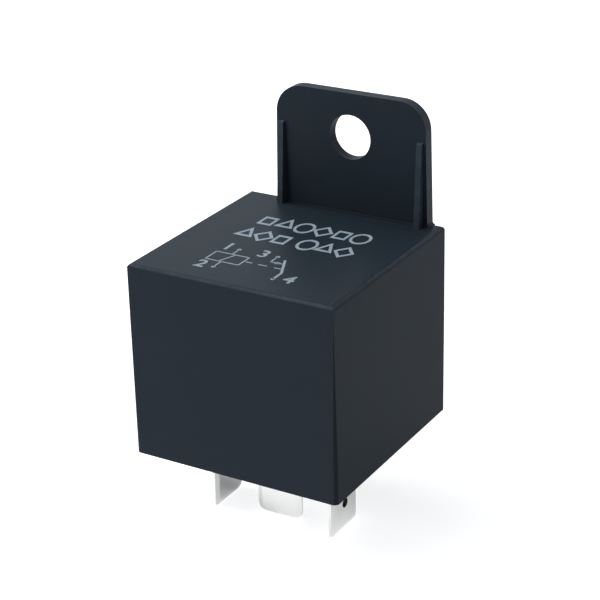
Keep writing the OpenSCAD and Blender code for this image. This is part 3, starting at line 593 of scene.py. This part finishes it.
def disc(bm, centre, r):
    """A round dot of ink."""
    bmesh.ops.create_cone(bm, cap_ends=True, segments=20, radius1=r, radius2=r, depth=INK_T,
                          matrix=Matrix.Translation((*centre, INK_Z)))


def outline(bm, centre, r, sides, turn, width, tall):
    """The outline of a plain shape with so many sides, such as a ring, a square or a triangle."""
    place = (Matrix.Translation((*centre, INK_Z)) @ Matrix.Diagonal((1, tall, 1, 1))
             @ Matrix.Rotation(turn, 4, "Z"))
    reach = width / 2 / math.cos(math.pi / sides)
    loops = []
    for radius in (r - reach, r + reach):
        loops += bmesh.ops.create_circle(bm, segments=sides, radius=radius, matrix=place)["verts"]
    edges = [e for e in bm.edges if e.verts[0] in loops and e.verts[1] in loops]
    ring = bmesh.ops.bridge_loops(bm, edges=edges)["faces"]
    bmesh.ops.solidify(bm, geom=ring, thickness=INK_T)


def arrow_head(bm, tip, length, width):
    """A filled arrow head that points to +X, from a triangle whose corners lie on a unit circle."""
    along, across, to_middle = length / 1.5, width / math.sqrt(3), -0.25
    place = (Matrix.Translation((tip[0] - length / 2, tip[1], INK_Z)) @ Matrix.Diagonal((along, across, 1, 1))
             @ Matrix.Translation((to_middle, 0, 0)) @ Matrix.Rotation(-math.pi / 2, 4, "Z"))
    bmesh.ops.create_cone(bm, cap_ends=True, segments=3, radius1=1, radius2=1, depth=INK_T, matrix=place)


def figure(bm, text, centre, height):
    """A plain figure of ink, whose height is 0.7 of the text's size."""
    curve = bpy.data.curves.new("figure", "FONT")
    curve.body = text
    curve.size = height / 0.7
    curve.align_x = "CENTER"
    curve.align_y = "CENTER"
    curve.extrude = INK_T / 2
    curve.offset = 0.05
    curve.resolution_u = 3
    mesh = mesh_of(curve)
    mesh.transform(Matrix.Translation((*centre, INK_Z)))
    bm.from_mesh(mesh)
    bpy.data.meshes.remove(mesh)


def circuit_symbol(bm):
    """A coil that opens a closed contact, with its four ends numbered."""
    line, heavy, dot = 0.2, 0.32, 0.28
    left, right, high, low = -6.5, -1.95, -5.84, -8.33
    coil_top, coil_foot = (-4.33, -4.23), (-4.3, -10.03)
    contact_top, common_foot = (0.91, -4.07), (3.79, -10.0)
    path(bm, [(left, low), (right, low), (right, high), (left, high), (left, low - line / 2)], line)
    stroke(bm, (-4.7, low), (-3.8, high), line)
    stroke(bm, (coil_top[0], high), coil_top, line)
    stroke(bm, (coil_foot[0], low), coil_foot, line)
    for end in (coil_top, coil_foot, contact_top, common_foot):
        disc(bm, end, dot)
    link_y = -7.07
    for start, end in ((-1.7, -0.8), (0.0, 1.2), (2.2, 3.1)):
        stroke(bm, (start, link_y), (end, link_y), line)
    contact_y = -5.71
    path(bm, [contact_top, (contact_top[0], contact_y), (2.0, contact_y)], line)
    arrow_head(bm, (2.62, contact_y), length=1.0, width=0.75)
    path(bm, [(2.21, -4.57), (3.78, -8.1), common_foot], heavy)
    for text, x, y in (("1", -6.0, -4.0), ("2", -6.1, -9.9), ("3", -1.0, -4.1), ("4", 5.6, -9.4)):
        figure(bm, text, (x, y), height=2.0)


def plain_marks(bm):
    """Two rows of plain outlined shapes, each drawn a little taller than wide."""
    square, triangle, diamond, ring = (4, math.pi / 4), (3, 0), (4, 0), (40, 0)
    upper_y = 5.3
    upper = {-6.1: square, -3.5: triangle, -0.9: ring, 1.7: diamond, 4.3: square, 6.9: ring}
    lower_y = 0.75
    lower = {-6.5: triangle, -4.0: diamond, -1.5: square, 2.1: ring, 4.6: triangle, 7.1: diamond}
    for marks, y in ((upper, upper_y), (lower, lower_y)):
        for x, (sides, turn) in marks.items():
            outline(bm, (x, y), r=1.15, sides=sides, turn=turn, width=0.36, tall=1.28)


def top_print():
    """All the ink on the top face, as one piece."""
    bm = bmesh.new()
    circuit_symbol(bm)
    plain_marks(bm)
    bm.transform(Matrix.Scale(MM, 4))
    bmesh.ops.recalc_face_normals(bm, faces=bm.faces)
    return finished("top_print", bm, [printed_ink()], "housing")


top_print()


# Floor, light and camera

def paper_white():
    """White floor that keeps a faint shadow: part of its light is its own, seen by camera and mirrors.

    Mirrors see a painted pool of light that fades from the front left, where the lamps stand, to the back
    right, and a painted shadow beneath the body, behind the left blade.
    """
    material = bpy.data.materials.new("paper_white")
    material.use_nodes = True
    tree = material.node_tree
    tree.nodes.clear()
    # What mirrors see of the floor's own light: a painted pool of light at the front left and a painted
    # shadow beneath the body
    to_back_right, strongest, weakest, fade_length = (0.5, 0.86, 0), 0.57, 0.2, 15 * MM
    painted_shadow_middle, painted_shadow_r, open_r = (-4.5 * MM, 4 * MM, 0), 4 * MM, 11 * MM
    for_camera = 0.75
    rays = add(tree, "LightPath", {})
    place = add(tree, "TexCoord", {}).outputs["Object"]
    along = add(tree, "VectorMath", {0: place, 1: to_back_right}, operation="DOT_PRODUCT")
    fade = add(tree, "MapRange", {"Value": along.outputs["Value"], "From Min": 0.0, "From Max": fade_length,
                                  "To Min": strongest, "To Max": weakest})
    away = add(tree, "VectorMath", {0: place, 1: painted_shadow_middle}, operation="DISTANCE")
    open_floor = add(tree, "MapRange", {"Value": away.outputs["Value"], "From Min": painted_shadow_r,
                                        "From Max": open_r})
    reflected = add(tree, "Math", {0: fade, 1: open_floor}, operation="MULTIPLY")
    mirrored = add(tree, "Math", {0: rays.outputs["Is Glossy Ray"], 1: rays.outputs["Is Transmission Ray"]},
                   operation="MAXIMUM")
    shown = add(tree, "Math", {0: rays.outputs["Is Camera Ray"], 1: for_camera}, operation="MULTIPLY")
    strength = add(tree, "Math", {0: mirrored, 1: reflected, 2: shown}, operation="MULTIPLY_ADD")
    paper = add(tree, "BsdfDiffuse", {"Color": colour("fafafa")})
    glow = add(tree, "Emission", {"Color": colour("ffffff"), "Strength": strength})
    both = add(tree, "AddShader", {0: paper, 1: glow})
    add(tree, "OutputMaterial", {"Surface": both})
    return material


def floor():
    """A square floor, three metres from its middle to each side."""
    bm = bmesh.new()
    bmesh.ops.create_grid(bm, x_segments=1, y_segments=1, size=3)
    finished("floor", bm, [paper_white()], None)


def world():
    """A plain pale studio that lights softly, and looks white to the camera and in mirrors."""
    lighting, seen = 0.18, 1.0
    sky = bpy.data.worlds.new("studio")
    bpy.context.scene.world = sky
    sky.use_nodes = True
    tree = sky.node_tree
    tree.nodes.clear()
    rays = add(tree, "LightPath", {})
    shown = add(tree, "Math", {0: rays.outputs["Is Camera Ray"], 1: rays.outputs["Is Glossy Ray"]},
                operation="MAXIMUM")
    any_view = add(tree, "Math", {0: shown, 1: rays.outputs["Is Transmission Ray"]}, operation="MAXIMUM")
    strength = add(tree, "MapRange", {"Value": any_view, "To Min": lighting, "To Max": seen})
    light = add(tree, "Background", {"Color": colour("eef5fb"), "Strength": strength})
    add(tree, "OutputWorld", {"Surface": light})


# Each softbox's place in metres, the side of its square in metres, and its power in watts
SOFTBOXES = {
    "left_softbox": ((-0.65, 0, 0.25), 0.4, 3.1),
    "overhead_softbox": ((-0.25, -0.2, 0.65), 0.5, 1.8),
    "front_left_softbox": ((-0.45, -0.55, 0.35), 0.4, 0.9),
    "right_softbox": ((0.6, 0.2, 0.3), 0.4, 0.1),
    "back_left_softbox": ((-0.45, 0.45, 0.5), 0.5, 0.25),
}


def softbox(name, place, side, power):
    """A square softbox with a cool white light, turned to the middle of the relay."""
    relay_middle = (0, 0, 0.022)
    light = bpy.data.lights.new(name, "AREA")
    light.shape = "SQUARE"
    light.size = side
    light.energy = power
    light.color = colour("f4f9ff")[:3]
    box = bpy.data.objects.new(name, light)
    box.location = place
    box.rotation_mode = "QUATERNION"
    box.rotation_quaternion = (Vector(relay_middle) - Vector(place)).to_track_quat("-Z", "Y")
    bpy.context.scene.collection.objects.link(box)


def camera():
    """The photograph's viewpoint, solved from the corners of the relay's body, in millimetres."""
    azimuth, elevation, roll = (math.radians(a) for a in (30.91, 23.83, -1.375))
    distance, focal_px, frame_px, sensor_mm = 227, 1855, 600, 36
    aside, above, aim_z = 1.053, 4.741, 22.8
    back = Vector((math.sin(azimuth) * math.cos(elevation), -math.cos(azimuth) * math.cos(elevation),
                   math.sin(elevation)))
    level = Vector((0, 0, 1)).cross(back).normalized()
    upright = back.cross(level)
    right = math.cos(roll) * level + math.sin(roll) * upright
    up = math.cos(roll) * upright - math.sin(roll) * level
    place = Vector((0, 0, aim_z)) + back * distance + right * aside + up * above
    lens = bpy.data.cameras.new("camera")
    lens.lens = focal_px / frame_px * sensor_mm
    lens.sensor_width = sensor_mm
    lens.clip_start, lens.clip_end = 0.01, 10
    eye = bpy.data.objects.new("camera", lens)
    eye.matrix_world = Matrix.Translation(place * MM) @ Matrix((right, up, back)).transposed().to_4x4()
    bpy.context.scene.collection.objects.link(eye)
    bpy.context.scene.camera = eye


floor()
world()
for name, (place, side, power) in SOFTBOXES.items():
    softbox(name, place, side, power)
camera()
bpy.context.scene.view_settings.view_transform = "Standard"
